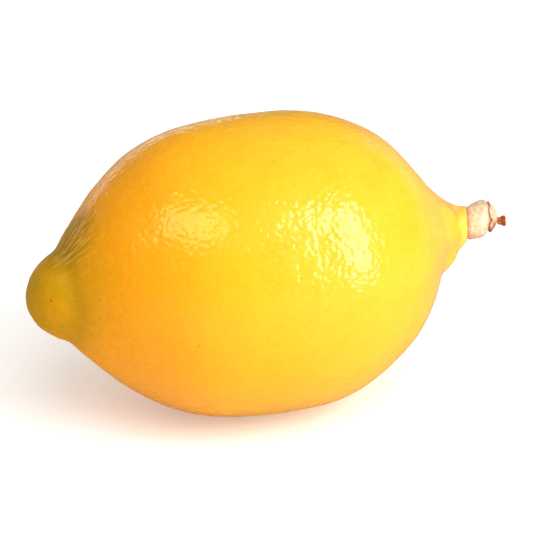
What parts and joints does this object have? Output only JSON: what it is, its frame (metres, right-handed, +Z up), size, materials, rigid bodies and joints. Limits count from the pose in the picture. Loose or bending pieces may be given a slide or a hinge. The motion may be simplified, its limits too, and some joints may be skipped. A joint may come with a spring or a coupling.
{
  "type": "lemon",
  "caption": "Whole ripe lemon lying on its side, with a nipple at the blossom end and a corky button, dried sepals and a broken stem stub on its neck.",
  "frame": {"origin": "on the small resting face's plane, under the middle of the whole lemon's box", "axes": "+X along the fruit from the nipple to the stem end, +Z up from the resting face"},
  "size_m": [0.1042, 0.062, 0.0615],
  "materials": {
    "rind": "waxy, dimpled with oil glands, orange-yellow at the blossom end and bright yellow at the stem end",
    "cork": "dry pale cork, matt",
    "dried_sepal": "dry and papery, matt",
    "broken_wood": "torn brown wood, matt"
  },
  "bodies": {
    "root": {"fruit": "rind", "button": "cork", "sepals": "dried_sepal", "stem_stub": "broken_wood"}
  },
  "joints": []
}
